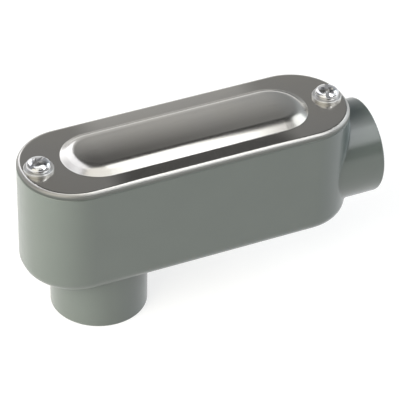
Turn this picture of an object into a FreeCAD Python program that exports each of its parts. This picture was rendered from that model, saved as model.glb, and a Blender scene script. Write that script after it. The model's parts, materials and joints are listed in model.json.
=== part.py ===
import FreeCAD, Part
import math
import os

# Conduit body of the LB form: a long cast housing with one hub leaving its back and one
# leaving its end, closed on top by a pressed cover on a gasket, held by a screw at each end.
#
# All sizes are in millimetres. The origin is the centre of the back hub's mouth. +Z runs up
# the back hub's axis to the cover, and +X runs along the housing to the end hub.

# Housing
BODY_LENGTH = 115.8          # closed end to hub end, over the rounded ends
BODY_WIDTH = 38.0
END_FLAT = 1.6               # short flat left across each rounded end
BODY_DEPTH = 38.3            # back face to rim
WALL = 2.8
FLOOR = 3.0
BACK_EDGE_RADIUS = 4.1
RIM_EDGE_RADIUS = 0.5
CAVITY_FLOOR_RADIUS = 2.2

# Hubs, one size for both
HUB_RADIUS = 16.35
HUB_BORE_RADIUS = 13.4       # over the roots of the pipe thread
HUB_MOUTH_RADIUS = 0.6
HUB_ROOT_RADIUS = 1.0        # fillet where a hub leaves the housing
BACK_HUB_LENGTH = 18.7       # mouth to the housing's back face
BACK_HUB_INSET = 26.6        # axis from the closed end
END_HUB_REACH = 8.9          # mouth past the hub end
END_HUB_RISE = 0.3           # the end hub's underside above the back face
STOP_THICKNESS = 4.8         # smooth shoulder that stops the conduit
THROAT_RADIUS = 10.4         # wire way through the stop

# Cover and gasket
COVER_SHEET = 1.2
COVER_EDGE_RADIUS = 1.5
COVER_BEND_INNER_RADIUS = 0.4
COVER_LIP_GAP = 0.1          # lip to the housing's rim
GASKET_THICKNESS = 0.8
GASKET_LIP_CLEARANCE = 0.1   # to the bend inside the lip
GASKET_BORDER = 3.6          # width of the gasket along the sides
GASKET_CORNER_RADIUS = 4.0
GASKET_BOSS_MARGIN = 0.8     # gasket past each screw boss
PANEL_SIDE_INSET = 6.7       # cover's edge to the foot of the raised panel
PANEL_END_INSET = 14.4
PANEL_HEIGHT = 1.85          # cover's flat to the edge of the panel's crown
PANEL_CROWN = 0.45           # rise of the crown above its edge
PANEL_SLOPE = 3.6            # plan width of the panel's sloping border
PANEL_SHOULDER_RADIUS = 5.0
PANEL_FOOT_RADIUS = 0.7

# Screws and washers
SCREW_INSET = 6.2            # screw axis from each end of the cover
SCREW_RADIUS = 2.08
SCREW_LENGTH = 9.5           # under the head
SCREW_POINT = 0.6            # chamfer at the tip
SCREW_HEAD_RADIUS = 4.05
SCREW_HEAD_HEIGHT = 2.6
SCREW_HEAD_SIDE = 0.9        # straight side under the crown
SLOT_WIDTH = 1.2
SLOT_DEPTH = 1.1
CROSS_WIDTH = 1.1
CROSS_SPAN = 4.4             # across the cross recess at the crown
CROSS_DEPTH = 1.7
WASHER_RADIUS = 4.95
WASHER_THICKNESS = 0.9
WASHER_EDGE_RADIUS = 0.2
BOSS_RADIUS = 4.6
BOSS_SKIN = 1.4              # metal left under a screw hole
BOSS_GUSSET = 7.0            # height of the sloping web under the closed-end boss
THREAD_CLEARANCE = 0.05      # screw in its tapped hole
WASHER_CLEARANCE = 0.25
COVER_HOLE_CLEARANCE = 0.35
GASKET_HOLE_CLEARANCE = 0.5
HOLE_TIP_CLEARANCE = 0.5     # hole's bottom past the screw's tip
HOLE_LEAD_IN = 0.3

# Levels along Z
BACK_Z = BACK_HUB_LENGTH
FLOOR_Z = BACK_Z + FLOOR
RIM_Z = BACK_Z + BODY_DEPTH
SHEET_Z = RIM_Z + GASKET_THICKNESS
COVER_Z = SHEET_Z + COVER_SHEET
WASHER_Z = COVER_Z + WASHER_THICKNESS

# Places along X
CLOSED_END_X = -BACK_HUB_INSET
HUB_END_X = CLOSED_END_X + BODY_LENGTH
END_HUB_MOUTH_X = HUB_END_X + END_HUB_REACH
SCREW_X = {"closed_end": CLOSED_END_X + SCREW_INSET, "hub_end": HUB_END_X - SCREW_INSET}

HALF_WIDTH = BODY_WIDTH / 2
END_RADIUS = HALF_WIDTH - END_FLAT / 2
HUB_DEPTH = BACK_HUB_LENGTH + FLOOR       # mouth to the stop's inner face, in both hubs
HUB_BORE_DEPTH = HUB_DEPTH - STOP_THICKNESS
END_HUB_Z = BACK_Z + END_HUB_RISE + HUB_RADIUS
SCREW_HOLE_DEPTH = RIM_Z - (WASHER_Z - SCREW_LENGTH) + HOLE_TIP_CLEARANCE

BEYOND = 5.0                              # how far a cutting tool runs past what it cuts
TOLERANCE = 1e-4
ROOT_TOLERANCE = 0.02                     # an intersection edge's distance from the hub's side
ROOT_SAMPLES = 9
UP = FreeCAD.Vector(0, 0, 1)
ALONG = FreeCAD.Vector(1, 0, 0)


def line(start, end):
    return Part.LineSegment(FreeCAD.Vector(*start), FreeCAD.Vector(*end)).toShape()


def arc(start, middle, end):
    points = [FreeCAD.Vector(*point) for point in (start, middle, end)]
    return Part.Arc(*points).toShape()


def cylinder(radius, height, x, z):
    return Part.makeCylinder(radius, height, FreeCAD.Vector(x, 0, z), UP)


def outline(inset, end_inset, radius, z):
    """Rounded outline inside the housing's plan, in the plane at z."""
    x_low = CLOSED_END_X + end_inset
    x_high = HUB_END_X - end_inset
    half = HALF_WIDTH - inset
    edges = []
    quarter = math.sqrt(0.5) * radius
    turns = [(x_high, -1), (x_high, 1), (x_low, 1), (x_low, -1)]
    last = None
    for x, side in turns:
        toward = 1 if x == x_high else -1
        centre = (x - toward * radius, side * (half - radius))
        on_side = (centre[0], side * half, z)
        on_end = (x, centre[1], z)
        middle = (centre[0] + toward * quarter, centre[1] + side * quarter, z)
        first, second = (on_side, on_end) if toward * side < 0 else (on_end, on_side)
        if last and math.dist(last, first) > TOLERANCE:
            edges.append(line(last, first))
        edges.append(arc(first, middle, second))
        last = second
    start = edges[0].Vertexes[0].Point
    edges.append(line(last, tuple(start)))
    return Part.Wire(edges)


def prism(wire, height):
    return Part.Face(wire).extrude(UP * height)


def edges_at(shape, z):
    """Edges that lie wholly in the plane at z."""
    return [edge for edge in shape.Edges
            if abs(edge.BoundBox.ZMin - z) < TOLERANCE and abs(edge.BoundBox.ZMax - z) < TOLERANCE]


def turned(profile, origin, axis):
    """Solid of revolution. The profile lists (along, radius) points; a triple of points is an arc."""
    edges = []
    for piece in profile:
        points = [(radius, 0, along) for along, radius in piece]
        edges.append(arc(*points) if len(points) == 3 else line(*points))
    solid = Part.Face(Part.Wire(edges)).revolve(FreeCAD.Vector(0, 0, 0), UP, 360)
    solid.Placement = FreeCAD.Placement(FreeCAD.Vector(*origin), FreeCAD.Rotation(UP, axis))
    return solid


def hub_bore(origin, axis):
    """Hollow of one hub: threaded length, rounded shoulder and throat."""
    lip = STOP_THICKNESS / 2
    quarter = lip * (1 - math.sqrt(0.5))
    lip_radius = THROAT_RADIUS + lip
    profile = [
        [(-BEYOND, 0), (-BEYOND, HUB_BORE_RADIUS)],
        [(-BEYOND, HUB_BORE_RADIUS), (HUB_BORE_DEPTH, HUB_BORE_RADIUS)],
        [(HUB_BORE_DEPTH, HUB_BORE_RADIUS), (HUB_BORE_DEPTH, lip_radius)],
        [(HUB_BORE_DEPTH, lip_radius), (HUB_BORE_DEPTH + quarter, THROAT_RADIUS + quarter),
         (HUB_BORE_DEPTH + lip, THROAT_RADIUS)],
        [(HUB_BORE_DEPTH + lip, THROAT_RADIUS), (HUB_DEPTH - quarter, THROAT_RADIUS + quarter),
         (HUB_DEPTH, lip_radius)],
        [(HUB_DEPTH, lip_radius), (HUB_DEPTH + TOLERANCE, 0)],
        [(HUB_DEPTH + TOLERANCE, 0), (-BEYOND, 0)],
    ]
    return turned(profile, origin, axis)


def add_hub(shell, origin, axis):
    """Shell with one hub: a cylinder with a rounded mouth, blended into the shell at its root as
    far as the wall beside it allows."""
    mouth_centre = FreeCAD.Vector(*origin)
    hub = Part.makeCylinder(HUB_RADIUS, HUB_DEPTH, mouth_centre, axis)
    mouth = [edge for edge in hub.Edges
             if (edge.CenterOfMass - mouth_centre).Length < TOLERANCE]
    shell = shell.fuse(hub.makeFillet(HUB_MOUTH_RADIUS, mouth))
    radius = min(HUB_ROOT_RADIUS, HALF_WIDTH - HUB_RADIUS)
    if radius < TOLERANCE:
        return shell
    root = [edge for edge in shell.Edges if on_hub_root(edge, mouth_centre, axis)]
    return shell.makeFillet(radius, root)


def on_hub_root(edge, mouth_centre, axis):
    """True for an edge where the hub's side meets the shell, past its rounded mouth."""
    for point in edge.discretize(ROOT_SAMPLES):
        reach = point - mouth_centre
        along = reach.dot(axis)
        if abs((reach - axis * along).Length - HUB_RADIUS) > ROOT_TOLERANCE:
            return False
        if along < 2 * HUB_MOUTH_RADIUS:
            return False
    return True


def screw_boss(x, toward_end, gusset):
    """Boss under the rim: a round-nosed tongue on the end wall with a sloping web below it."""
    depth = SCREW_HOLE_DEPTH + BOSS_SKIN
    wall_x = x + toward_end * SCREW_INSET
    nose_x = x - toward_end * BOSS_RADIUS
    side = [(nose_x, 0, RIM_Z), (nose_x, 0, RIM_Z - depth),
            (wall_x, 0, RIM_Z - depth - gusset), (wall_x, 0, RIM_Z)]
    web = Part.Face(Part.makePolygon([FreeCAD.Vector(*point) for point in side + side[:1]]))
    web = web.extrude(FreeCAD.Vector(0, 2 * BOSS_RADIUS, 0))
    web.translate(FreeCAD.Vector(0, -BOSS_RADIUS, 0))
    height = depth + gusset
    nose = cylinder(BOSS_RADIUS, height, x, RIM_Z - height)
    root = Part.makeBox(SCREW_INSET, 2 * BOSS_RADIUS, height,
                        FreeCAD.Vector(min(x, wall_x), -BOSS_RADIUS, RIM_Z - height))
    return web.common(nose.fuse(root))


def make_housing():
    shell = prism(outline(0, 0, END_RADIUS, BACK_Z), BODY_DEPTH)
    shell = shell.makeFillet(BACK_EDGE_RADIUS, edges_at(shell, BACK_Z))
    shell = shell.makeFillet(RIM_EDGE_RADIUS, edges_at(shell, RIM_Z))
    back_origin = (0, 0, 0)
    end_origin = (END_HUB_MOUTH_X, 0, END_HUB_Z)
    shell = add_hub(shell, back_origin, UP)
    shell = add_hub(shell, end_origin, -ALONG)

    cavity = prism(outline(WALL, WALL, END_RADIUS - WALL, FLOOR_Z), RIM_Z + BEYOND - FLOOR_Z)
    cavity = cavity.makeFillet(CAVITY_FLOOR_RADIUS, edges_at(cavity, FLOOR_Z))
    sleeve = Part.makeCylinder(HUB_RADIUS, HUB_DEPTH, FreeCAD.Vector(*end_origin), -ALONG)
    cavity = cavity.cut(sleeve)
    cavity = cavity.cut(screw_boss(SCREW_X["closed_end"], -1, BOSS_GUSSET))
    cavity = cavity.cut(screw_boss(SCREW_X["hub_end"], 1, 0))

    housing = shell.cut(cavity)
    housing = housing.cut(hub_bore(back_origin, UP))
    housing = housing.cut(hub_bore(end_origin, -ALONG))
    for x in SCREW_X.values():
        housing = housing.cut(screw_hole(x))
    above_rim = prism(outline(0, 0, END_RADIUS, RIM_Z), 2 * HUB_RADIUS)
    return housing.cut(above_rim)


def screw_hole(x):
    radius = SCREW_RADIUS + THREAD_CLEARANCE
    hole = cylinder(radius, SCREW_HOLE_DEPTH, x, RIM_Z - SCREW_HOLE_DEPTH)
    lead_in = Part.makeCone(radius, radius + HOLE_LEAD_IN, HOLE_LEAD_IN,
                            FreeCAD.Vector(x, 0, RIM_Z - HOLE_LEAD_IN), UP)
    return hole.fuse(lead_in)


def make_gasket():
    inset = COVER_SHEET + COVER_BEND_INNER_RADIUS + GASKET_LIP_CLEARANCE
    gasket = prism(outline(inset, inset, END_RADIUS - inset, RIM_Z), GASKET_THICKNESS)
    window_end = SCREW_INSET + BOSS_RADIUS + GASKET_BOSS_MARGIN
    window = outline(inset + GASKET_BORDER, window_end, GASKET_CORNER_RADIUS, RIM_Z)
    gasket = gasket.cut(prism(window, GASKET_THICKNESS))
    for x in SCREW_X.values():
        gasket = gasket.cut(cylinder(SCREW_RADIUS + GASKET_HOLE_CLEARANCE, GASKET_THICKNESS, x, RIM_Z))
    return gasket


def panel_section(x, level):
    """Half section of the raised panel, across the cover at x: crown, slope and base."""
    foot = HALF_WIDTH - PANEL_SIDE_INSET
    edge = foot - PANEL_SLOPE
    edge_z = level + PANEL_HEIGHT
    crown_radius = (edge ** 2 + PANEL_CROWN ** 2) / (2 * PANEL_CROWN)
    middle = edge / 2
    drop = crown_radius - math.sqrt(crown_radius ** 2 - middle ** 2)
    top_z = edge_z + PANEL_CROWN
    return Part.Face(Part.Wire([
        arc((x, 0, top_z), (x, middle, top_z - drop), (x, edge, edge_z)),
        line((x, edge, edge_z), (x, foot, level)),
        line((x, foot, level), (x, 0, level)),
        line((x, 0, level), (x, 0, top_z)),
    ]))


def panel(level):
    """Raised panel of the cover, standing on the plane at level. Its section runs along the
    middle and is turned about the centre of each round end."""
    reach = PANEL_END_INSET + HALF_WIDTH - PANEL_SIDE_INSET
    x_low = CLOSED_END_X + reach
    x_high = HUB_END_X - reach
    solid = panel_section(x_low, level).extrude(ALONG * (x_high - x_low))
    solid = solid.fuse(solid.mirror(FreeCAD.Vector(0, 0, 0), FreeCAD.Vector(0, 1, 0)))
    for x in (x_low, x_high):
        solid = solid.fuse(panel_section(x, level).revolve(FreeCAD.Vector(x, 0, 0), UP, 360))
    solid = solid.removeSplitter()
    return solid.makeFillet(PANEL_SHOULDER_RADIUS, edges_at(solid, level + PANEL_HEIGHT))


def pressed_form(inset, bottom, level, edge_radius):
    """Slab with the cover's rounded edge and raised panel, filled down to bottom."""
    slab = prism(outline(inset, inset, END_RADIUS - inset, bottom), level - bottom)
    slab = slab.makeFillet(edge_radius, edges_at(slab, level))
    form = slab.fuse(panel(level)).removeSplitter()
    inner = HALF_WIDTH - PANEL_SIDE_INSET + TOLERANCE
    foot = [edge for edge in edges_at(form, level) if edge.BoundBox.YMax < inner
            and edge.BoundBox.YMin > -inner]
    return form.makeFillet(PANEL_FOOT_RADIUS, foot)


def make_cover():
    bottom = RIM_Z + COVER_LIP_GAP
    cover = pressed_form(0, bottom, COVER_Z, COVER_EDGE_RADIUS)
    cover = cover.cut(pressed_form(COVER_SHEET, bottom, SHEET_Z, COVER_BEND_INNER_RADIUS))
    for x in SCREW_X.values():
        cover = cover.cut(cylinder(SCREW_RADIUS + COVER_HOLE_CLEARANCE, BEYOND, x, RIM_Z))
    return cover


def make_washer(x):
    washer = cylinder(WASHER_RADIUS, WASHER_THICKNESS, x, COVER_Z)
    washer = washer.makeFillet(WASHER_EDGE_RADIUS, edges_at(washer, WASHER_Z))
    return washer.cut(cylinder(SCREW_RADIUS + WASHER_CLEARANCE, WASHER_THICKNESS, x, COVER_Z))


def driver_recess():
    """Slot across the head with a tapered cross at its middle, cut down from the crown."""
    top = SCREW_HEAD_HEIGHT
    slot = Part.makeBox(2 * SCREW_HEAD_RADIUS, SLOT_WIDTH, SLOT_DEPTH,
                        FreeCAD.Vector(-SCREW_HEAD_RADIUS, -SLOT_WIDTH / 2, top - SLOT_DEPTH))
    half = CROSS_SPAN / 2
    side = [(-half, 0, top), (half, 0, top), (CROSS_WIDTH / 2, 0, top - CROSS_DEPTH),
            (-CROSS_WIDTH / 2, 0, top - CROSS_DEPTH), (-half, 0, top)]
    wing = Part.Face(Part.makePolygon([FreeCAD.Vector(*point) for point in side]))
    wing = wing.extrude(FreeCAD.Vector(0, CROSS_WIDTH, 0))
    wing.translate(FreeCAD.Vector(0, -CROSS_WIDTH / 2, 0))
    across = wing.copy()
    across.rotate(FreeCAD.Vector(0, 0, 0), UP, 90)
    return slot.fuse(wing).fuse(across)


def make_screw(x):
    rise = SCREW_HEAD_HEIGHT - SCREW_HEAD_SIDE
    crown_radius = (SCREW_HEAD_RADIUS ** 2 + rise ** 2) / (2 * rise)
    half_angle = math.asin(SCREW_HEAD_RADIUS / crown_radius) / 2
    crown_middle = (SCREW_HEAD_HEIGHT - crown_radius * (1 - math.cos(half_angle)),
                    crown_radius * math.sin(half_angle))
    tip = -SCREW_LENGTH
    profile = [
        [(tip, 0), (tip, SCREW_RADIUS - SCREW_POINT)],
        [(tip, SCREW_RADIUS - SCREW_POINT), (tip + SCREW_POINT, SCREW_RADIUS)],
        [(tip + SCREW_POINT, SCREW_RADIUS), (0, SCREW_RADIUS)],
        [(0, SCREW_RADIUS), (0, SCREW_HEAD_RADIUS)],
        [(0, SCREW_HEAD_RADIUS), (SCREW_HEAD_SIDE, SCREW_HEAD_RADIUS)],
        [(SCREW_HEAD_SIDE, SCREW_HEAD_RADIUS), crown_middle, (SCREW_HEAD_HEIGHT, 0)],
        [(SCREW_HEAD_HEIGHT, 0), (tip, 0)],
    ]
    screw = turned(profile, (0, 0, 0), UP).cut(driver_recess())
    screw.translate(FreeCAD.Vector(x, 0, WASHER_Z))
    return screw


def write(name, shape):
    shape.exportStep(os.path.join("parts", name + ".step"))


os.makedirs("parts", exist_ok=True)
write("housing", make_housing())
write("gasket", make_gasket())
write("cover", make_cover())
for end, screw_x in SCREW_X.items():
    write("washer_" + end, make_washer(screw_x))
    write("screw_" + end, make_screw(screw_x))
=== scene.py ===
import json
import math

import bmesh
import bpy
from mathutils import Matrix, Vector

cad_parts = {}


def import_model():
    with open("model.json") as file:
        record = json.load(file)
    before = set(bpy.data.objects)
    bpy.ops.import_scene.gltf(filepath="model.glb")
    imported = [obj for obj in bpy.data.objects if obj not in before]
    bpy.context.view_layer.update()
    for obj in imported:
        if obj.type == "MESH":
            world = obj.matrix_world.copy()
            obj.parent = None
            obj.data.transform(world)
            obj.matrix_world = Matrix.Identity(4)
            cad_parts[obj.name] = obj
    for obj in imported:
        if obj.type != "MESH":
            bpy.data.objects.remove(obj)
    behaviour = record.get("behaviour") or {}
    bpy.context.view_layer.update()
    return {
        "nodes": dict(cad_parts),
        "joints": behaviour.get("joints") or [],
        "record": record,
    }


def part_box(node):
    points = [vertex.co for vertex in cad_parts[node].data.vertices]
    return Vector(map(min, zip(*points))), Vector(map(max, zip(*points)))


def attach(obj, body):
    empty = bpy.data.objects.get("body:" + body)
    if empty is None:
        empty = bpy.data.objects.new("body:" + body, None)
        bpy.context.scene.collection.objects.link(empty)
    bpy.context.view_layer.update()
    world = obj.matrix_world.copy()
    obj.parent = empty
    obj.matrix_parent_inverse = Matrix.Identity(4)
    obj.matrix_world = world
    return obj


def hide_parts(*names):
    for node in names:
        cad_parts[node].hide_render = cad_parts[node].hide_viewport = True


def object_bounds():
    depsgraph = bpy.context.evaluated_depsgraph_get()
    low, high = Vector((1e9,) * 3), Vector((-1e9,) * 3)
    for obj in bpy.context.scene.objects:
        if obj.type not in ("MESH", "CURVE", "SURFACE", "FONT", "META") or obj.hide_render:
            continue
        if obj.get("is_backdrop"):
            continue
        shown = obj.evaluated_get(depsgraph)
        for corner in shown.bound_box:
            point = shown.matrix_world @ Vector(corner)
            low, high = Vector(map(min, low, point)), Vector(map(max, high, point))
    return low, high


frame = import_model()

MM = 0.001
COVER_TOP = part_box("washer_closed_end")[0].z     # top of the cover's flange, under the washers

# Camera, in degrees: turned from the near side, then raised, then rolled
CAMERA_AZIMUTH = -25.54
CAMERA_ELEVATION = 37.24
CAMERA_ROLL = 1.33
CAMERA_DISTANCE = 797.3 * MM
CAMERA_LENS = 213.9
CAMERA_SENSOR = 36
CAMERA_CLIP_START = 0.01
CAMERA_TARGET = Vector((36.99 * MM, 0, COVER_TOP - 29.62 * MM))

# Paint and bare metal of the housing. Here and below, a relief is a bump's height and strength
PAINT_COLOURS = ((0.095, 0.112, 0.106), (0.107, 0.125, 0.119))
PAINT_PATCH = 14 * MM
PAINT_ROUGHNESS = (0.29, 0.38)
PAINT_GLOSS_PATCH = 5 * MM
ORANGE_PEEL = 1.6 * MM
ORANGE_PEEL_RELIEF = (0.02 * MM, 0.5)
PAINT_COAT = {"Coat Weight": 0.5, "Coat Roughness": 0.10}
BORE_COLOUR = (0.48, 0.48, 0.47)
BORE_ROUGHNESS = 0.38
BORE_EDGE = 1.0 * MM         # bare metal reaches this far past the bore's wall
BORE_RUNOUT = 1.2 * MM       # and this far past its thread

# Cover sheet: rolled metal, scuffed on its rounded edge, and darker and duller on the lower part
# of its lip. Each band runs down from the flange's top
SHEET_COLOURS = ((0.485, 0.477, 0.464), (0.530, 0.508, 0.456))
SHEET_PATCH = 22 * MM
SHEET_ROUGHNESS = (0.17, 0.26)
SHEET_GLOSS_PATCH = 6 * MM
GRAIN_SIZE = 0.5 * MM
GRAIN_STRETCH = (14, 1, 1)
GRAIN_COLOUR = (0.40, 0.395, 0.39)
GRAIN_SHARE = 0.1            # of the grain's colour in the sheet's, and how far it varies
GRAIN_CONTRAST = 0.25
GRAIN_RELIEF = (0.002 * MM, 0.35)
WAVE_SIZE = 18 * MM
WAVE_RELIEF = (0.10 * MM, 0.25)
SCUFFED_BAND = (0.02 * MM, 0.25 * MM)
SCUFFED_COLOUR = (0.41, 0.405, 0.39)
SCUFFED_ROUGHNESS = 0.42
# the lip is darker and rougher below this band
LIP_DARK_BAND = (0.50 * MM, 1.25 * MM)
LIP_DARK_COLOUR = (0.15, 0.16, 0.15)
LIP_DARK_ROUGHNESS = 0.5

# The cover's shading normal. Distances are from the panel's middle line, and tilts are radians
PANEL_FOOT = 12.3 * MM       # the flange lies outside the foot of the panel
PANEL_HALF_LENGTH = 43.5 * MM
CREST_START = 7.2 * MM       # the panel's crest is rounded off between these
CREST_END = 10.4 * MM
CREST_SLOPES = (0.06, 0.475)                # of the sheet where the rounding starts and ends
CREST_FADE = (-0.8 * MM, 0.4 * MM)          # the rounding comes in about its start
UPPER_SIDE = 0.3             # a normal's z above this is on the sheet's upper side
NEAR_DROOP = 0.14            # tilt of the flange at its long edges
FAR_DROOP = 0.05
END_LEAN = 0.016             # tilt of the flange at its round ends
DROOP_FADE = (-8 * MM, 4 * MM)              # droop gives way to lean about the ends' start
PANEL_BOW = 0.08             # tilt of the panel at its two ends, along it
PANEL_LEAN = 0.012           # tilt of the panel's middle
PANEL_FLATTENING = 0.020     # tilt taken off its crown at the feet

# Bare metals: colour patches (size, detail), their two colours, roughness patches (size) and
# range, then surface grain (size, detail) and its relief
METALS = {
    "zinc_plate": ((2.2 * MM, 2), (0.58, 0.59, 0.63), (0.70, 0.69, 0.66),
                   0.8 * MM, (0.10, 0.26), (0.25 * MM, 2), (0.004 * MM, 0.5)),
    "satin_zinc": ((1.8 * MM, 3), (0.60, 0.60, 0.60), (0.70, 0.69, 0.66),
                   1.0 * MM, (0.34, 0.46), (0.3 * MM, 2), (0.004 * MM, 0.5)),
    "cut_thread": ((0.4 * MM, 3), (0.50, 0.50, 0.49), (0.66, 0.66, 0.65),
                   1.2 * MM, (0.29, 0.42), (0.4 * MM, 3), (0.01 * MM, 0.4)),
}

RUBBER_COLOURS = ((0.018, 0.018, 0.019), (0.045, 0.044, 0.042))
RUBBER_DUST = 1.5 * MM
RUBBER_ROUGHNESS = (0.55, 0.8)
RUBBER_PORES = 0.3 * MM
RUBBER_RELIEF = (0.02 * MM, 0.6)

# Threads: shares of half a pitch that the flat root and the flank after it take
ROOT_FLAT = 0.12
FLANK = 0.72
ROWS_PER_PITCH = 10

# Pipe thread, 14 to the inch, tapering 1 in 16 on the diameter
PIPE_PITCH = 25.4 / 14 * MM
PIPE_THREAD_DEPTH = 1.25 * MM
PIPE_TAPER = 1 / 32
PIPE_SEGMENTS = 144
PIPE_SLEEVE_GAP = 0.02 * MM
PIPE_SLEEVE_SKIN = 0.05 * MM                # thickness under the thread's root
PIPE_START = 0.4 * MM        # depth of the first turn below the hub's mouth
PIPE_LEAD = 0.6              # pitches over which it grows, and fades at the inner end
PIPE_FADE = 2.2
PIPE_TAPER_AHEAD = 0.3       # the taper stays full until the fade has gone this far

# Screw, #8-32 with a pan head
SCREW_RADIUS = 2.08 * MM
SCREW_PITCH = 25.4 / 32 * MM
SCREW_MINOR_SHARE = 0.8      # thread's root over its crest
SCREW_SEGMENTS = 72
SCREW_LEAD = 0.8             # pitches over which the thread ends under the head
POINT_LENGTH = 0.6 * MM
POINT_INSET = 0.25 * MM      # of the flat end from the root
POINT_TAPER = 0.2 * MM
HEAD_SIDE = 0.9 * MM         # height of the head's straight side
HEAD_EDGE = 0.18 * MM        # the head's bevelled lower edge, and where its middle row stands
HEAD_EDGE_MIDDLE = 0.3
CROWN_ROWS = 14
CROWN_FULLNESS = 0.75        # below 1 the crown is fuller than an ellipse
SLOT_ANGLES = {"closed_end": 28, "hub_end": 66}

# The combined recess: half-widths at the bottom and top, and depth below the crown
SLOT_HALF_WIDTHS = (0.55 * MM, 0.62 * MM)
SLOT_DEPTH = 1.1 * MM
WING_HALF_SIZES = ((0.6 * MM, 0.38 * MM), (2.5 * MM, 0.75 * MM))
WING_DEPTH = 1.8 * MM
CUT_ABOVE = 0.5 * MM

SMOOTH_SLEEVE = 40           # edges sharper than this, in degrees, stay sharp
SMOOTH_SCREW = 35

# Floor: grey cloth for light, and nearly white where it is seen
FLOOR_SIZE = 40
FLOOR_GAP = 0.05 * MM
CLOTH_COLOURS = ((0.52, 0.52, 0.52), (0.55, 0.55, 0.55))
CLOTH_PATCH = 0.2
SEEN_COLOUR = (0.30, 0.30, 0.30, 1)
SEEN_GLOW = (0.25, 0.80, 0.76, 1.0)         # between these distances, from this strength to this

# Surroundings: brightness against the sine of the elevation, behind the object and in front,
# and a tint from left to right
BACK_LEVELS = ((0.0, 0.84), (0.45, 0.75), (0.545, 0.52), (0.60, 0.38), (0.656, 0.21),
               (0.695, 0.09), (0.73, 0.07), (1.0, 0.12))
FRONT_LEVELS = ((0.0, 0.22), (0.35, 0.13), (0.60, 0.10), (1.0, 0.06))
FRONT_TO_BACK = (-0.2, 0.35)
SIDE_TINTS = ((0.0, (0.55, 0.54, 0.50)), (0.30, (0.50, 0.50, 0.49)), (0.42, (1.0, 1.0, 0.99)),
              (0.68, (1.0, 1.0, 1.0)), (0.76, (0.52, 0.54, 0.56)), (1.0, (0.80, 0.88, 0.95)))
HORIZON = (0.12, 0.09)       # seen directly or mirrored, it turns white between these sines

# Soft pale walls: direction, outer and inner angle in degrees, colour
PALE_WALLS = (((-0.80, -0.45, 0.40), 42, 26, (1.45, 1.40, 1.26)),
              ((0.97, 0.05, 0.14), 30, 14, (1.30, 1.40, 1.50)),
              ((0.50, -0.12, 0.86), 24, 8, (0.80, 0.80, 0.81)))

# Lamps: direction from the point they face, direction of the first side, distance, size,
# radiance, colour and the kind of ray that doesn't see them. Those hidden from diffuse rays
# give reflections only, and those hidden from glossy rays light the paint
LAMPS_FACE = Vector((37 * MM, 0, 50 * MM))
LAMPS = {
    "strip": ((0.365, -0.28, 0.90), (-0.13, 0.95, 0.28), 0.75, (1.15, 0.23),
              2.6, (0.98, 0.99, 1), "diffuse"),
    "top_left": ((-0.14, 0.04, 0.99), (1, 0, 0), 0.75, (0.44, 0.36),
                 1.6, (1, 0.99, 0.96), "diffuse"),
    "front_left": ((-0.15, -0.42, 0.89), (1, 0, 0), 0.75, (0.50, 0.20),
                   1.5, (1, 0.99, 0.94), "diffuse"),
    "hub_front": ((0.48, -0.48, 0.74), (0.10, 0.83, 0.55), 0.77, (0.46, 0.24),
                  1.8, (0.93, 0.97, 1), "diffuse"),
    "front_right": ((0.76, -0.30, 0.52), (0.36, 0.40, -0.40), 0.80, (0.55, 0.16),
                    1.6, (1, 1, 1), "diffuse"),
    "right_high": ((0.79, 0.20, 0.58), (0, 1, 0), 0.80, (0.36, 0.28),
                   2.0, (0.95, 0.98, 1), "diffuse"),
    "back_left": ((-0.28, 0.72, 0.64), (0.36, 0.52, -0.76), 0.85, (1.00, 0.34),
                  1.9, (0.93, 0.94, 1), "diffuse"),
    "left": ((-0.890, -0.170, 0.42), (0, 1, 0), 0.80, (1.00, 0.80),
             6.0, (1, 0.97, 0.85), "glossy"),
    "right": ((0.97, 0.06, 0.24), (0, 1, 0), 0.80, (0.80, 0.40),
              6.5, (0.82, 0.92, 1), "glossy"),
}


# ---------------------------------------------------------------- materials

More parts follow.
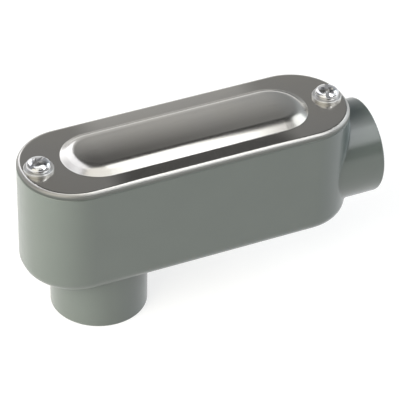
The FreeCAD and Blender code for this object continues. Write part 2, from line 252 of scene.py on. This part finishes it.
class Surface:
    """A node material being built: adds nodes by type and sets or links their inputs."""

    def __init__(self, name):
        self.material = bpy.data.materials.new(name)
        self.start(self.material, "Material", "Object")

    def start(self, owner, kind, coords):
        owner.use_nodes = True
        self.tree = owner.node_tree
        self.tree.nodes.clear()
        self.output = self.tree.nodes.new("ShaderNodeOutput" + kind)
        self.coords = self.tree.nodes.new("ShaderNodeTexCoord").outputs[coords]

    def add(self, kind, inputs=(), **settings):
        node = self.tree.nodes.new("ShaderNode" + kind)
        for name, value in settings.items():
            setattr(node, name, value)
        for key, value in dict(inputs).items():
            if isinstance(value, bpy.types.NodeSocket):
                self.tree.links.new(value, node.inputs[key])
            else:
                node.inputs[key].default_value = value
        return node

    def math(self, operation, first, second=0.0):
        return self.add("Math", {0: first, 1: second}, operation=operation).outputs[0]

    def vector(self, operation, first, second=(0, 0, 0)):
        """Vector arithmetic. A length and a dot product come back as numbers."""
        node = self.add("VectorMath", {0: first, 1: second}, operation=operation)
        return node.outputs["Value" if operation in ("LENGTH", "DOT_PRODUCT") else "Vector"]

    def split(self, vector):
        parts = self.add("SeparateXYZ", {0: vector})
        return [parts.outputs[axis] for axis in "XYZ"]

    def join(self, **parts):
        return self.add("CombineXYZ", parts).outputs[0]

    def remap(self, value, old_low, old_high, new_low=0.0, new_high=1.0, soft=False):
        """The value mapped from old_low..old_high onto new_low..new_high, and held there."""
        limits = {"From Min": old_low, "From Max": old_high, "To Min": new_low, "To Max": new_high}
        return self.add("MapRange", {"Value": value, **limits},
                        interpolation_type="SMOOTHSTEP" if soft else "LINEAR").outputs[0]

    def noise(self, size, detail=2.0, roughness=0.5, stretch=(1, 1, 1)):
        """Noise with features about size metres across, longer along axes stretched above 1."""
        place = self.add("Mapping", {"Vector": self.coords, "Scale": [1 / s for s in stretch]})
        inputs = {"Vector": place.outputs[0], "Scale": 1 / size, "Detail": detail,
                  "Roughness": roughness}
        return self.add("TexNoise", inputs).outputs["Fac"]

    def mix_colour(self, factor, first, second):
        node = self.add("Mix", {"Factor": factor}, data_type="RGBA")
        for socket, colour in ((node.inputs[6], first), (node.inputs[7], second)):
            if isinstance(colour, bpy.types.NodeSocket):
                self.tree.links.new(colour, socket)
            else:
                socket.default_value = (*colour, 1)
        return node.outputs[2]

    def mix_value(self, factor, first, second):
        node = self.add("Mix", {"Factor": factor, 2: first, 3: second}, data_type="FLOAT")
        return node.outputs[0]

    def bump(self, height, distance, strength, under=None):
        inputs = {"Height": height, "Distance": distance, "Strength": strength}
        if under is not None:
            inputs["Normal"] = under
        return self.add("Bump", inputs).outputs[0]

    def seen(self):
        """1 where the camera sees it, directly, mirrored or through glass, and 0 elsewhere."""
        light_path = self.add("LightPath")
        camera, glossy, transmission = (light_path.outputs["Is %s Ray" % kind]
                                        for kind in ("Camera", "Glossy", "Transmission"))
        return self.math("MAXIMUM", self.math("MAXIMUM", camera, glossy), transmission)

    def finish(self, colour, roughness, normal, **others):
        inputs = {"Base Color": colour, "Roughness": roughness, "Normal": normal, **others}
        shader = self.add("BsdfPrincipled", inputs)
        self.tree.links.new(shader.outputs[0], self.output.inputs[0])
        return self.material


def inside_hub(surface, mount):
    """1 within the threaded bore of a hub, 0 elsewhere, from the mount's own place and size."""
    axis = Vector(mount["axis"])
    reach = surface.vector("SUBTRACT", surface.coords, Vector(mount["pos_m"]))
    along = surface.vector("DOT_PRODUCT", reach, axis)
    radius = surface.vector("LENGTH", surface.vector("CROSS_PRODUCT", reach, axis))
    wall = mount["dims"]["r_mm"] * MM + BORE_EDGE
    depth = mount["dims"]["length_mm"] * MM + BORE_RUNOUT
    near_axis = surface.math("LESS_THAN", radius, wall)
    not_deep = surface.math("GREATER_THAN", along, -depth)
    return surface.math("MULTIPLY", near_axis, not_deep)


def painted_casting():
    surface = Surface("painted_casting")
    bored = 0.0
    for mount in frame["record"]["mounts"]:
        bored = surface.math("MAXIMUM", inside_hub(surface, mount), bored)
    paint = surface.mix_colour(surface.noise(PAINT_PATCH, 3), *PAINT_COLOURS)
    colour = surface.mix_colour(bored, paint, BORE_COLOUR)
    roughness = surface.remap(surface.noise(PAINT_GLOSS_PATCH, 3), 0, 1, *PAINT_ROUGHNESS)
    roughness = surface.mix_value(bored, roughness, BORE_ROUGHNESS)
    normal = surface.bump(surface.noise(ORANGE_PEEL, 1), *ORANGE_PEEL_RELIEF)
    return surface.finish(colour, roughness, normal, Metallic=bored, **PAINT_COAT)


def rounded_crest(surface, plain, out_x, out_y, away):
    """The sheet's normal with its panel's crest rounded off softly, on the upper side only."""
    angle = surface.remap(away, CREST_START, CREST_END, *CREST_SLOPES)
    outward = surface.vector("NORMALIZE", surface.join(X=out_x, Y=out_y))
    across = surface.add("VectorMath", {0: outward, "Scale": surface.math("SINE", angle)},
                         operation="SCALE").outputs[0]
    rounded = surface.vector("ADD", across, surface.join(Z=surface.math("COSINE", angle)))
    share = surface.remap(away, *(CREST_START + step for step in CREST_FADE))
    share = surface.math("MULTIPLY", share, surface.math("LESS_THAN", away, CREST_END))
    facing = surface.split(plain)[2]
    share = surface.math("MULTIPLY", share, surface.math("GREATER_THAN", facing, UPPER_SIDE))
    mixed = surface.add("Mix", {0: share, 4: plain, 5: rounded}, data_type="VECTOR")
    return mixed.outputs[1]


def sheet_normal(surface):
    """Normal of the cover: a flange that droops, and a bowed panel with a rounded crest."""
    x, y, _ = surface.split(surface.coords)
    low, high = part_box("cover")
    middle = (low.x + high.x) / 2
    reach = (high.y - low.y) / 2
    from_middle = surface.math("SUBTRACT", x, middle)
    along = surface.math("SUBTRACT", surface.math("ABSOLUTE", from_middle),
                         PANEL_HALF_LENGTH - PANEL_FOOT)
    past = surface.math("MAXIMUM", along, 0.0)
    away = surface.math("SQRT", surface.math("ADD", surface.math("MULTIPLY", past, past),
                                             surface.math("MULTIPLY", y, y)))
    flange = surface.math("GREATER_THAN", away, PANEL_FOOT)

    near = surface.remap(y, -reach, 0, -NEAR_DROOP, 0)
    far = surface.remap(y, 0, reach, 0, FAR_DROOP)
    straight = surface.remap(along, *DROOP_FADE, 1, 0, soft=True)
    droop = surface.mix_value(straight, -END_LEAN, surface.math("ADD", near, far))
    crown = surface.remap(y, -PANEL_FOOT, PANEL_FOOT, PANEL_LEAN + PANEL_FLATTENING,
                          PANEL_LEAN - PANEL_FLATTENING)
    tilt = surface.mix_value(flange, crown, droop)
    bow = surface.remap(x, middle - PANEL_HALF_LENGTH, middle + PANEL_HALF_LENGTH,
                        -PANEL_BOW, PANEL_BOW)
    bow = surface.math("MULTIPLY", bow, surface.math("SUBTRACT", 1.0, flange))

    plain = surface.add("NewGeometry").outputs["Normal"]
    out_x = surface.math("MULTIPLY", past, surface.math("SIGN", from_middle))
    rounded = rounded_crest(surface, plain, out_x, y, away)
    return surface.vector("NORMALIZE", surface.vector("ADD", rounded, surface.join(X=bow, Y=tilt)))


def cover_sheet():
    surface = Surface("cover_sheet")
    grain = surface.noise(GRAIN_SIZE, 2, 0.6, GRAIN_STRETCH)
    colour = surface.mix_colour(surface.noise(SHEET_PATCH, 3), *SHEET_COLOURS)
    tone = surface.math("MULTIPLY", surface.math("SUBTRACT", grain, 0.5), GRAIN_CONTRAST)
    colour = surface.mix_colour(surface.math("ADD", tone, GRAIN_SHARE), colour, GRAIN_COLOUR)
    gloss = surface.math("MULTIPLY", grain, surface.noise(SHEET_GLOSS_PATCH, 3))
    roughness = surface.remap(gloss, 0, 1, *SHEET_ROUGHNESS)
    height = surface.split(surface.coords)[2]
    # each band gives its own colour and roughness: the scuffed edge, then the darker lower lip
    for band, band_colour, band_roughness in ((SCUFFED_BAND, SCUFFED_COLOUR, SCUFFED_ROUGHNESS),
                                              (LIP_DARK_BAND, LIP_DARK_COLOUR, LIP_DARK_ROUGHNESS)):
        banded = surface.remap(height, *(COVER_TOP - step for step in band))
        colour = surface.mix_colour(banded, colour, band_colour)
        roughness = surface.mix_value(banded, roughness, band_roughness)
    waves = surface.bump(surface.noise(WAVE_SIZE, 1), *WAVE_RELIEF, sheet_normal(surface))
    normal = surface.bump(grain, *GRAIN_RELIEF, waves)
    return surface.finish(colour, roughness, normal, Metallic=1.0)


def bare_metal(name):
    patches, first, second, gloss, rough, grain, relief = METALS[name]
    surface = Surface(name)
    colour = surface.mix_colour(surface.noise(*patches), first, second)
    roughness = surface.remap(surface.noise(gloss, 3), 0, 1, *rough)
    normal = surface.bump(surface.noise(*grain), *relief)
    return surface.finish(colour, roughness, normal, Metallic=1.0)


def gasket_rubber():
    surface = Surface("gasket_rubber")
    dust = surface.noise(RUBBER_DUST, 4)
    colour = surface.mix_colour(dust, *RUBBER_COLOURS)
    roughness = surface.remap(dust, 0, 1, *RUBBER_ROUGHNESS)
    normal = surface.bump(surface.noise(RUBBER_PORES, 2), *RUBBER_RELIEF)
    return surface.finish(colour, roughness, normal)


def dress(obj, material):
    obj.data.materials.clear()
    obj.data.materials.append(material)


# ---------------------------------------------------------------- meshes

def as_object(mesh, name):
    """Object in the scene from a bmesh, which is freed."""
    data = bpy.data.meshes.new(name)
    mesh.to_mesh(data)
    mesh.free()
    obj = bpy.data.objects.new(name, data)
    bpy.context.scene.collection.objects.link(obj)
    return obj


def lathe(name, rows, segments, closed=False):
    """Object turned about +Z. Each row is (radius as a function of the angle, z).

    A row whose radius is None closes that end with a point. With closed=True the last row
    joins the first, which makes a ring.
    """
    mesh = bmesh.new()
    angles = [2 * math.pi * i / segments for i in range(segments)]
    rings = []
    for radius, z in rows:
        if radius is None:
            rings.append([mesh.verts.new((0, 0, z))])
        else:
            rings.append([mesh.verts.new((radius(a) * math.cos(a), radius(a) * math.sin(a), z))
                          for a in angles])
    pairs = list(zip(rings, rings[1:])) + ([(rings[-1], rings[0])] if closed else [])
    for lower, upper in pairs:
        for i in range(segments):
            j = (i + 1) % segments
            if len(lower) == 1:
                mesh.faces.new((lower[0], upper[j], upper[i]))
            elif len(upper) == 1:
                mesh.faces.new((lower[i], lower[j], upper[0]))
            else:
                mesh.faces.new((lower[i], lower[j], upper[j], upper[i]))
    bmesh.ops.recalc_face_normals(mesh, faces=mesh.faces)
    return as_object(mesh, name)


def shade_smooth(obj, angle):
    for polygon in obj.data.polygons:
        polygon.use_smooth = True
    obj.data.set_sharp_from_angle(angle=math.radians(angle))


def ridge(phase):
    """Height of a V thread with flattened crest and root, 0 to 1, over one pitch."""
    rise = 1 - abs(2 * (phase % 1) - 1)
    return min(max((rise - ROOT_FLAT) / FLANK, 0), 1)


def even(radius):
    """A row's radius that is the same all round."""
    return lambda angle: radius


def hub_thread(mount, material):
    """Pipe thread as a sleeve lining a hub's bore, tapering inward and fading at its end."""
    bore = mount["dims"]["r_mm"] * MM - PIPE_SLEEVE_GAP
    length = mount["dims"]["length_mm"] * MM
    steps = round(length / PIPE_PITCH * ROWS_PER_PITCH)
    rows = []
    for step in range(steps + 1):
        depth = PIPE_START + (length - PIPE_START) * step / steps
        ends = min(1, (depth - PIPE_START) / (PIPE_LEAD * PIPE_PITCH),
                   (length - depth) / (PIPE_FADE * PIPE_PITCH))

        def radius(angle, depth=depth, ends=ends):
            height = PIPE_THREAD_DEPTH * ridge(depth / PIPE_PITCH + angle / (2 * math.pi)) * ends
            taper = PIPE_TAPER * depth * min(1, ends + PIPE_TAPER_AHEAD)
            return bore - PIPE_SLEEVE_SKIN - taper - height
        rows.append((radius, depth))
    rows += [(even(bore), length), (even(bore), PIPE_START)]
    sleeve = lathe(mount["name"] + "_thread", rows, PIPE_SEGMENTS, closed=True)
    inward = Vector((0, 0, 1)).rotation_difference(-Vector(mount["axis"])).to_matrix().to_4x4()
    sleeve.data.transform(Matrix.Translation(Vector(mount["pos_m"])) @ inward)
    shade_smooth(sleeve, SMOOTH_SLEEVE)
    dress(sleeve, material)
    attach(sleeve, "conduit_body")


# ---------------------------------------------------------------- screws

def screw_rows(length, head_radius, head_height):
    """Rows of a pan head screw about +Z, with its head's underside at z = 0."""
    root = SCREW_RADIUS * SCREW_MINOR_SHARE
    rows = [(None, -length), (even(root - POINT_INSET), -length)]
    steps = round(length / SCREW_PITCH * ROWS_PER_PITCH)
    for step in range(1, steps):
        z = -length + length * step / steps
        past_point = (z + length) / POINT_LENGTH
        ends = min(1, past_point, -z / (SCREW_LEAD * SCREW_PITCH))

        def thread(angle, z=z, past_point=past_point, ends=ends):
            core = root - POINT_TAPER * max(0, 1 - past_point)
            height = ridge(z / SCREW_PITCH - angle / (2 * math.pi)) * ends
            return core + (SCREW_RADIUS - root) * height
        rows.append((thread, z))
    rows += [(even(root), 0), (even(head_radius - HEAD_EDGE), 0),
             (even(head_radius - HEAD_EDGE_MIDDLE * HEAD_EDGE), HEAD_EDGE_MIDDLE * HEAD_EDGE),
             (even(head_radius), HEAD_EDGE), (even(head_radius), HEAD_SIDE)]
    rise = head_height - HEAD_SIDE
    for i in range(1, CROWN_ROWS):
        turn = math.pi / 2 * i / CROWN_ROWS
        rows.append((even(head_radius * math.cos(turn) ** CROWN_FULLNESS),
                     HEAD_SIDE + rise * math.sin(turn)))
    rows.append((None, head_height))
    return rows


def block(name, half_low, half_high, z_low, z_high):
    """Tapered four-sided block between two rectangles given by their half-sizes."""
    mesh = bmesh.new()
    rings = []
    for (half_x, half_y), z in ((half_low, z_low), (half_high, z_high)):
        rings.append([mesh.verts.new((sx * half_x, sy * half_y, z))
                      for sx, sy in ((-1, -1), (1, -1), (1, 1), (-1, 1))])
    mesh.faces.new(rings[0][::-1])
    mesh.faces.new(rings[1])
    for i in range(4):
        j = (i + 1) % 4
        mesh.faces.new((rings[0][i], rings[0][j], rings[1][j], rings[1][i]))
    return as_object(mesh, name)


def carve(obj, cutters):
    """Cuts the blocks out of obj and removes them."""
    for cutter in cutters:
        cut = obj.modifiers.new("cut", "BOOLEAN")
        cut.operation = "DIFFERENCE"
        cut.solver = "EXACT"
        cut.object = cutter
        bpy.context.view_layer.update()
        graph = bpy.context.evaluated_depsgraph_get()
        carved = bpy.data.meshes.new_from_object(obj.evaluated_get(graph))
        obj.modifiers.clear()
        obj.data = carved
        bpy.data.objects.remove(cutter)


def recess(head_radius, head_height):
    """Cutters for a slot across the whole head and a cross at its middle."""
    top = head_height + CUT_ABOVE
    slot_low, slot_high = ((head_radius, half) for half in SLOT_HALF_WIDTHS)
    cutters = [block("slot", slot_low, slot_high, head_height - SLOT_DEPTH, top)]
    for quarter in range(2):
        wing = block("wing", *WING_HALF_SIZES, head_height - WING_DEPTH, top)
        wing.data.transform(Matrix.Rotation(math.pi / 2 * quarter, 4, "Z"))
        cutters.append(wing)
    return cutters


def make_screw(end, slot_angle, material):
    node = "screw_" + end
    low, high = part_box(node)
    washer_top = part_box("washer_" + end)[1].z
    hinge = next(j for j in frame["joints"] if j["child"] == end + "_screw")
    head_radius = (high.x - low.x) / 2
    head_height = high.z - washer_top
    rows = screw_rows(washer_top - low.z, head_radius, head_height)
    screw = lathe("pan_screw_" + end, rows, SCREW_SEGMENTS)
    carve(screw, recess(head_radius, head_height))
    centre = Vector((hinge["pos_m"][0], hinge["pos_m"][1], washer_top))
    turn = Matrix.Rotation(math.radians(slot_angle), 4, "Z")
    screw.data.transform(Matrix.Translation(centre) @ turn)
    shade_smooth(screw, SMOOTH_SCREW)
    dress(screw, material)
    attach(screw, end + "_screw")
    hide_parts(node)


# ---------------------------------------------------------------- studio

def floor():
    surface = Surface("studio_floor")
    cloth = surface.mix_colour(surface.noise(CLOTH_PATCH, 2), *CLOTH_COLOURS)
    unseen = surface.add("BsdfDiffuse", {"Color": cloth})
    shaded = surface.add("BsdfDiffuse", {"Color": SEEN_COLOUR})
    lift = surface.remap(surface.vector("LENGTH", surface.coords), *SEEN_GLOW)
    glow = surface.add("Emission", {"Color": (1, 1, 1, 1), "Strength": lift})
    bright = surface.add("AddShader", {0: shaded.outputs[0], 1: glow.outputs[0]})
    mixed = surface.add("MixShader", {0: surface.seen(), 1: unseen.outputs[0],
                                      2: bright.outputs[0]})
    surface.tree.links.new(mixed.outputs[0], surface.output.inputs[0])
    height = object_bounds()[0][2] - FLOOR_GAP
    bpy.ops.mesh.primitive_plane_add(size=FLOOR_SIZE, location=(0, 0, height))
    plane = bpy.context.object
    plane.name = "floor"
    dress(plane, surface.material)
    plane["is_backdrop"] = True


class Surroundings(Surface):
    """The world's nodes, worked out by direction."""

    def __init__(self, name):
        bpy.context.scene.world = bpy.data.worlds.new(name)
        self.start(bpy.context.scene.world, "World", "Generated")

    def ramp(self, value, stops):
        node = self.add("ValToRGB", {"Fac": value})
        while len(node.color_ramp.elements) < len(stops):
            node.color_ramp.elements.new(0.5)
        for element, (place, colour) in zip(node.color_ramp.elements, stops):
            element.position = place
            element.color = (*colour, 1)
        return node.outputs[0]

    def grey_ramp(self, value, levels):
        return self.ramp(value, [(place, (level,) * 3) for place, level in levels])

    def lobe(self, under, direction, outer, inner, colour):
        """A soft round patch of colour about direction, over under."""
        facing = self.vector("DOT_PRODUCT", self.coords, Vector(direction).normalized())
        share = self.remap(facing, *(math.cos(math.radians(a)) for a in (outer, inner)), soft=True)
        return self.mix_colour(share, under, colour)


def world():
    """A pale backdrop that darkens upwards, with soft pale walls and a white horizon."""
    sky = Surroundings("studio")
    x, y, z = sky.split(sky.coords)
    back = sky.grey_ramp(z, BACK_LEVELS)
    front = sky.grey_ramp(z, FRONT_LEVELS)
    around = sky.mix_colour(sky.remap(y, *FRONT_TO_BACK, soft=True), front, back)
    around = sky.vector("MULTIPLY", around, sky.ramp(sky.remap(x, -1, 1), SIDE_TINTS))
    for wall in PALE_WALLS:
        around = sky.lobe(around, *wall)
    horizon = sky.math("MULTIPLY", sky.remap(z, *HORIZON, soft=True), sky.seen())
    around = sky.mix_colour(horizon, around, (1, 1, 1))
    glow = sky.add("Background", {"Color": around, "Strength": 1.0})
    sky.tree.links.new(glow.outputs[0], sky.output.inputs[0])


def softbox(name, direction, along, distance, size, level, colour, hidden_from):
    """A rectangular lamp facing LAMPS_FACE; its first side runs along, level is its radiance."""
    data = bpy.data.lights.new(name, "AREA")
    data.shape = "RECTANGLE"
    data.size, data.size_y = size
    data.energy = level * math.pi * size[0] * size[1]
    data.color = colour
    lamp = bpy.data.objects.new(name, data)
    setattr(lamp, "visible_" + hidden_from, False)
    bpy.context.scene.collection.objects.link(lamp)
    toward = Vector(direction).normalized()
    side = (Vector(along) - toward * toward.dot(Vector(along))).normalized()
    turn = Matrix((side, toward.cross(side), toward)).transposed().to_4x4()
    lamp.matrix_world = Matrix.Translation(LAMPS_FACE + toward * distance) @ turn


def camera():
    azimuth, elevation, roll = (math.radians(angle) for angle in
                                (CAMERA_AZIMUTH, CAMERA_ELEVATION, CAMERA_ROLL))
    forward = Vector((-math.sin(azimuth) * math.cos(elevation),
                      math.cos(azimuth) * math.cos(elevation), -math.sin(elevation)))
    right = forward.cross(Vector((0, 0, 1))).normalized()
    up = right.cross(forward)
    tilted = right * math.cos(roll) + up * math.sin(roll)
    upward = up * math.cos(roll) - right * math.sin(roll)
    data = bpy.data.cameras.new("camera")
    data.sensor_width = CAMERA_SENSOR
    data.lens = CAMERA_LENS
    data.clip_start = CAMERA_CLIP_START
    eye = bpy.data.objects.new("camera", data)
    bpy.context.scene.collection.objects.link(eye)
    turn = Matrix((tilted, upward, -forward)).transposed().to_4x4()
    eye.matrix_world = Matrix.Translation(CAMERA_TARGET - forward * CAMERA_DISTANCE) @ turn
    bpy.context.scene.camera = eye


bpy.context.scene.view_settings.view_transform = "Standard"

dress(frame["nodes"]["housing"], painted_casting())
dress(frame["nodes"]["cover"], cover_sheet())
dress(frame["nodes"]["gasket"], gasket_rubber())
zinc, satin, cut = (bare_metal(name) for name in ("zinc_plate", "satin_zinc", "cut_thread"))
for hub in frame["record"]["mounts"]:
    hub_thread(hub, cut)
for end, slot_angle in SLOT_ANGLES.items():
    dress(frame["nodes"]["washer_" + end], satin)
    make_screw(end, slot_angle, zinc)

floor()
world()
for name, lamp in LAMPS.items():
    softbox(name, *lamp)
camera()
